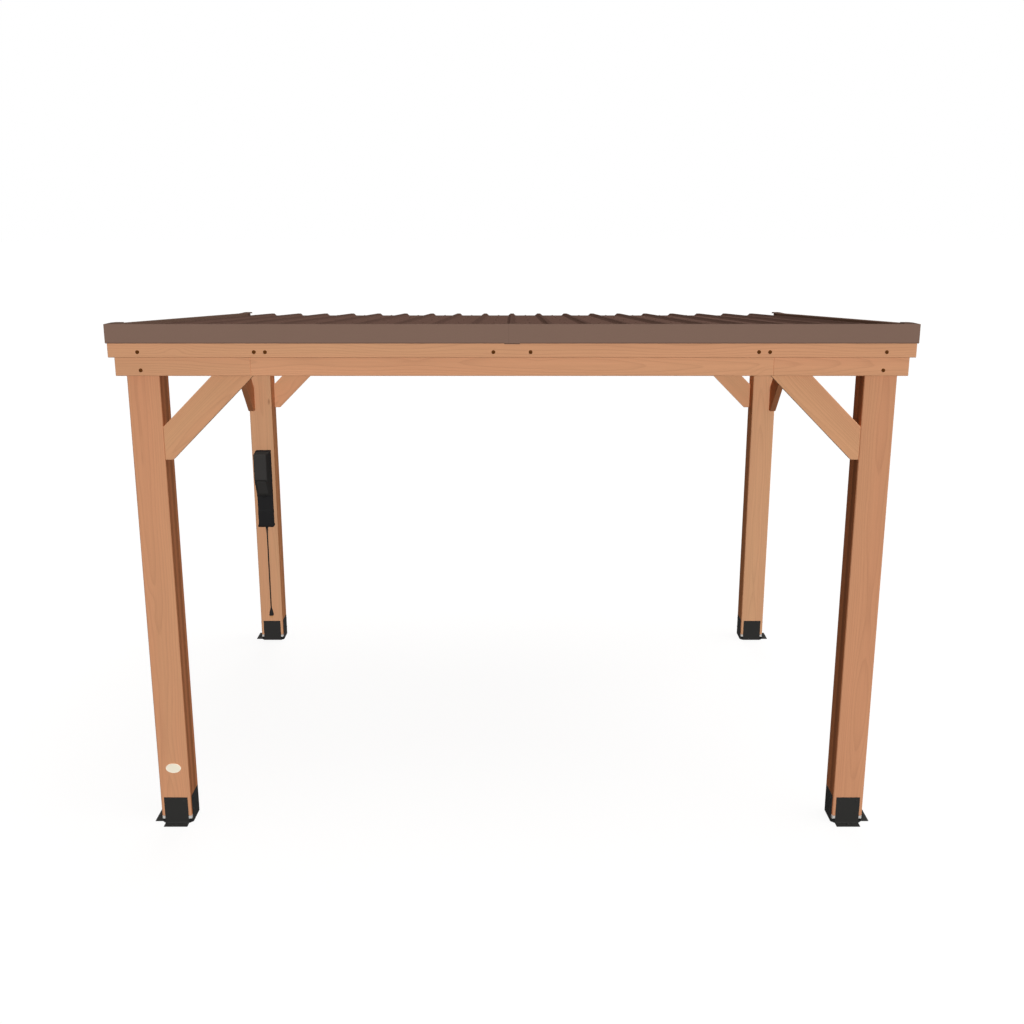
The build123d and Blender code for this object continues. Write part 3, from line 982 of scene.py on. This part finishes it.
def roof_screws():
    """Sealing screws through the sheets' flats, one row over each purlin."""
    first = purlin_low.y + purlin_width / 2
    spacing = -2 * first / (purlin_rows - 1)
    top = sheet_lift + sheet_steel / math.cos(tilt)
    shape = bmesh.new()
    for row in range(purlin_rows):
        y = first + row * spacing
        for index in range(ribs_each_side):
            for side in sides.values():
                x = side * (index + 0.5) * rib_pitch
                bolt(shape, (x, y, roof_line(y, top)), up_from_roof, sheet_screw_scale, 12)
    piece("roof_screws", shape, screw_metal)


def rib_closures():
    """Dark foam in the ribs' open ends at the back."""
    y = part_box("right_roof_sheet")[1].y - (rib_height + sheet_steel) * math.sin(tilt)
    z = roof_line(y, sheet_lift)
    foot = rib_base / 2 - foam_gap
    crest = rib_crest / 2 - foam_gap
    top = rib_height - foam_gap
    outline = [(-foot, foam_gap), (foot, foam_gap), (crest, top), (-crest, top)]
    rings = [[(x, depth, lift) for x, lift in outline] for depth in (-foam_depth, -foam_inset)]
    shape = bmesh.new()
    for index in range(-ribs_each_side, ribs_each_side + 1):
        take_in(shape, loft(rings), on_axes((index * rib_pitch, y, z), (1, 0, 0), down_slope, up_from_roof))
    piece("rib_closures", shape, foam)


# Outlet unit's mouldings

def panel(shape, middle, normal, width, height):
    """A raised panel with rounded corners, its back at middle and its width along X."""
    normal = Vector(normal).normalized()
    across = Vector((1, 0, 0))
    soft = panel_proud * panel_ease
    rings = [
        rounded_ring(width, height, panel_corner, -panel_root),
        rounded_ring(width, height, panel_corner, panel_proud - soft),
        rounded_ring(width - 2 * soft, height - 2 * soft, panel_corner, panel_proud),
    ]
    take_in(shape, loft(rings), on_axes(middle, across, normal.cross(across), normal))


def cover_screw(shape, place, direction):
    """A pan head with a round recess."""
    head = [(cover_screw_radius * out, cover_screw_radius * up) for out, up in cover_screw_section]
    take_in(shape, lathe(head, 16), facing(place, direction))


def outlet_trim():
    """The housing's lip, and the hood's gasket, hinges and latch."""
    shape = bmesh.new()
    low = box_low - Vector((lip_proud, lip_proud, lip_margin))
    high = Vector((box_high.x + lip_proud, box_high.y - lip_margin, box_low.z + lip_height))
    take_in(shape, block(low, high, lip_ease, 3))
    low = Vector((hood_low.x - gasket_proud, hood_high.y - gasket_depth, hood_low.z - gasket_proud))
    high = Vector((hood_high.x + gasket_proud, hood_high.y, hood_high.z + gasket_proud))
    take_in(shape, block(low, high, gasket_ease))
    for side in sides.values():
        place = (outlet_x + side * hinge_reach - hinge_length / 2, hood_high.y, hood_high.z)
        barrel = [(0, 0), (hinge_radius, 0), (hinge_radius, hinge_length), (0, hinge_length)]
        take_in(shape, lathe(barrel, 20), facing(place, (1, 0, 0)))
    hood_foot = Vector((outlet_x, hood_high.y, hood_low.z))
    take_in(shape, block(hood_foot + Vector(latch_low), hood_foot + Vector(latch_high), latch_ease, 3))
    piece("outlet_trim", shape, trim_plastic)


def hood_panels():
    """A raised panel on the hood's front, and one on the slant below it in a lighter plastic, painted light
    on the downward face.
    """
    shape = bmesh.new()
    low = hood_low.z + hood_slant + hood_panel_inset
    high = hood_high.z - hood_panel_drop
    panel(shape, (outlet_x, hood_low.y, (low + high) / 2), (0, -1, 0), hood_panel_width, high - low)
    piece("hood_panel", shape, hood_plastic)

    shape = bmesh.new()
    slant = Vector((0, hood_low.y - hood_high.y, hood_slant))
    middle = Vector((outlet_x, hood_high.y, hood_low.z)) + slant * slant_panel_middle
    normal = slant.cross(Vector((1, 0, 0))) * -1
    panel(shape, middle, normal, slant_panel_width, slant.length * slant_panel_share)
    piece("hood_slant_panel", shape, lit_slant_plastic)


def outlet_cover():
    """The cover on the housing below the hood, and its four screws."""
    low = box_low.z + lip_height + cover_lift
    high = box_low.z + cover_height
    width = box_high.x - box_low.x - cover_margin
    shape = bmesh.new()
    panel(shape, (outlet_x, box_low.y, (low + high) / 2), (0, -1, 0), width, high - low)
    piece("outlet_cover", shape, outlet_plastic)

    shape = bmesh.new()
    for side in sides.values():
        for level in (low + cover_screw_inset, high - cover_screw_inset):
            x = outlet_x + side * (width / 2 - cover_screw_inset)
            cover_screw(shape, (x, box_low.y - panel_proud, level), (0, -1, 0))
    piece("outlet_screws", shape, bracket_metal)


# Plate and fascia details

def badge_rim(steps=56):
    """A thin raised rim round the blank plate."""
    low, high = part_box("badge_plate")
    middle = (low + high) / 2
    reach_x, reach_z = (high.x - low.x) / 2, (high.z - low.z) / 2
    shape = bmesh.new()
    rings = []
    for step in range(steps):
        angle = 2 * math.pi * step / steps
        ring = []
        for inset, out in badge_rim_section:
            x = middle.x + (reach_x - inset * badge_rim_width) * math.cos(angle)
            z = middle.z + (reach_z - inset * badge_rim_width) * math.sin(angle)
            ring.append(shape.verts.new((x, low.y - out * badge_rim_proud, z)))
        rings.append(ring)
    for step, ring in enumerate(rings):
        after = rings[(step + 1) % steps]
        for index in range(len(ring)):
            beside = (index + 1) % len(ring)
            shape.faces.new((ring[index], after[index], after[beside], ring[beside]))
    bmesh.ops.recalc_face_normals(shape, faces=shape.faces)
    piece("badge_rim", shape, plate_finish)


def joiner_hem_shadow():
    """The folded hem under the fascia's cover strip, in a dark colour that paints the shadow line there."""
    low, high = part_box("front_fascia_joiner")
    shape = bmesh.new()
    hem_low = (low.x, low.y, low.z - hem_drop)
    hem_high = (high.x, low.y + hem_depth, low.z + hem_lap)
    take_in(shape, block(hem_low, hem_high, hem_ease))
    piece("joiner_hem_shadow", shape, hem_shadow_metal)


# Cord, strain relief and plug

def strain_relief():
    """A tapered, ringed sleeve below the gland."""
    step = relief_length / relief_rings
    tip = -relief_length - relief_tip_drop
    profile = [(0, 0), (relief_radius, 0)]
    for ring in range(relief_rings):
        share = (ring + 1) / relief_rings
        radius = relief_radius + (cord_diameter / 2 + relief_groove - relief_radius) * share
        profile += [(radius + relief_groove, -step * (ring + edge)) for edge in ring_edges]
        profile += [(radius - relief_groove, -step * (ring + edge)) for edge in groove_edges]
    profile += [(cord_diameter / 2 - relief_tip_inset, tip), (0, tip)]
    shape = bmesh.new()
    take_in(shape, lathe(profile, 28), Matrix.Translation((cord_x, cord_y, cord_top)))
    return piece("strain_relief", shape, plug_plastic)


def plug():
    """A straight moulded plug with finger grooves, pointing down, with two blades and a ground pin."""
    low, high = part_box("cord_plug")
    width = high.x - low.x
    depth = high.y - low.y
    place = Matrix.Translation((cord_x, cord_y, low.z + blade_length))
    rings = []
    for across, along, height in plug_levels:
        rings.append(rounded_ring(width * across, depth * along, plug_corner, height))
    shape = bmesh.new()
    take_in(shape, loft(rings), place)
    body = piece("plug_body", shape, plug_plastic, ["cord_plug"])

    shape = bmesh.new()
    for side in sides.values():
        x = side * blade_spacing / 2
        blade_low = (x - blade_steel / 2, -blade_width / 2, -blade_length)
        blade_high = (x + blade_steel / 2, blade_width / 2, blade_root)
        take_in(shape, block(blade_low, blade_high, blade_ease), place)
    pin = [*pin_tip, (pin_radius, blade_root), (0, blade_root)]
    take_in(shape, lathe(pin, 16), place @ Matrix.Translation((0, pin_offset, 0)))
    blades = piece("plug_blades", shape, brass)
    return body, blades


def cord():
    """The cord, hanging straight down from the gland to the plug."""
    levels = [cord_top, cord_top - cord_bend_lead, cord_end + cord_bend_lead, cord_end]
    curve = bpy.data.curves.new("power_cord_line", "CURVE")
    curve.dimensions = "3D"
    spline = curve.splines.new("NURBS")
    spline.points.add(len(levels) - 1)
    for point, level in zip(spline.points, levels):
        point.co = (cord_x, cord_y, level, 1.0)
    spline.order_u = 3
    spline.use_endpoint_u = True
    spline.resolution_u = 12
    curve.bevel_depth = cord_diameter / 2
    curve.bevel_resolution = 6
    curve.use_fill_caps = True
    curve.materials.append(cord_rubber)
    made = new_object("hanging_cord", curve)
    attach(made, "root")
    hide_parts("power_cord")
    return made


# Floor, light and camera

def seen_directly(tree):
    """1 for the camera, in reflections and through glass, and 0 for the light that falls on the object."""
    rays = add(tree, "LightPath", {})
    direct = calc(tree, "MAXIMUM", rays["Is Camera Ray"], rays["Is Glossy Ray"])
    return calc(tree, "MAXIMUM", direct, rays["Is Transmission Ray"])


def floor_material():
    """White to the camera with the object's soft shadow left in it, and a plain grey to everything else."""
    made, tree = new_material("floor")
    shadow = add(tree, "BsdfDiffuse", {"Color": (1, 1, 1, 1)})[0]
    glow = add(tree, "Emission", {"Color": (1, 1, 1, 1), "Strength": 1.0})[0]
    bright = add(tree, "MixShader", {0: floor_white, 1: shadow, 2: glow})[0]
    plain = add(tree, "BsdfDiffuse", {"Color": (floor_bounce, floor_bounce, floor_bounce, 1)})[0]
    mixed = add(tree, "MixShader", {0: seen_directly(tree), 1: plain, 2: bright})[0]
    under = add(tree, "NewGeometry", {})["Backfacing"]
    clear = add(tree, "BsdfTransparent", {})[0]
    both = add(tree, "MixShader", {0: under, 1: mixed, 2: clear})[0]
    add(tree, "OutputMaterial", {"Surface": both})
    return made


def make_floor():
    """A wide level floor."""
    shape = bmesh.new()
    bmesh.ops.create_grid(shape, x_segments=1, y_segments=1, size=floor_reach)
    mesh = mesh_of("floor", shape)
    mesh.materials.append(floor_material())
    new_object("floor", mesh)


def make_world():
    """A white background to the camera and in reflections, and a soft even light on the object."""
    world = bpy.data.worlds.new("studio")
    world.use_nodes = True
    tree = world.node_tree
    tree.nodes.clear()
    white = add(tree, "Background", {"Color": (1, 1, 1, 1), "Strength": 1.0})[0]
    soft = add(tree, "Background", {"Color": ambient_colour, "Strength": ambient_level})[0]
    mixed = add(tree, "MixShader", {0: seen_directly(tree), 1: soft, 2: white})[0]
    add(tree, "OutputWorld", {"Surface": mixed})
    bpy.context.scene.world = world


def make_lamp(name, azimuth, elevation, strength, spread, shadow):
    """A soft lamp that shines on the object from one direction."""
    turn, rise = math.radians(azimuth), math.radians(elevation)
    towards = Vector((math.sin(turn) * math.cos(rise), -math.cos(turn) * math.cos(rise), math.sin(rise)))
    lamp = bpy.data.lights.new(name, "SUN")
    lamp.energy = strength
    lamp.angle = math.radians(spread)
    lamp.use_shadow = shadow
    new_object(name, lamp).rotation_euler = towards.to_track_quat("Z", "Y").to_euler()


def make_camera():
    """The photograph's camera."""
    data = bpy.data.cameras.new("camera")
    data.sensor_width = sensor_width
    data.lens = sensor_width * focal_pixels / image_pixels
    made = new_object("camera", data)
    made.location = camera_place
    made.rotation_euler = (math.pi / 2 - camera_dip, 0, 0)
    bpy.context.scene.camera = made


# The scene

dress_timber()
dress_the_rest()
beam_bolts()
foot_screws()
rafter_hangers()
roof_screws()
outlet_trim()
hood_panels()
outlet_cover()
badge_rim()
joiner_hem_shadow()
rib_closures()
relief = strain_relief()
plug_parts = plug()
hanging = cord()
make_floor()
make_world()
for lamp_name, facts in lamps.items():
    make_lamp(lamp_name, *facts)
make_camera()
bpy.context.scene.view_settings.view_transform = "Standard"
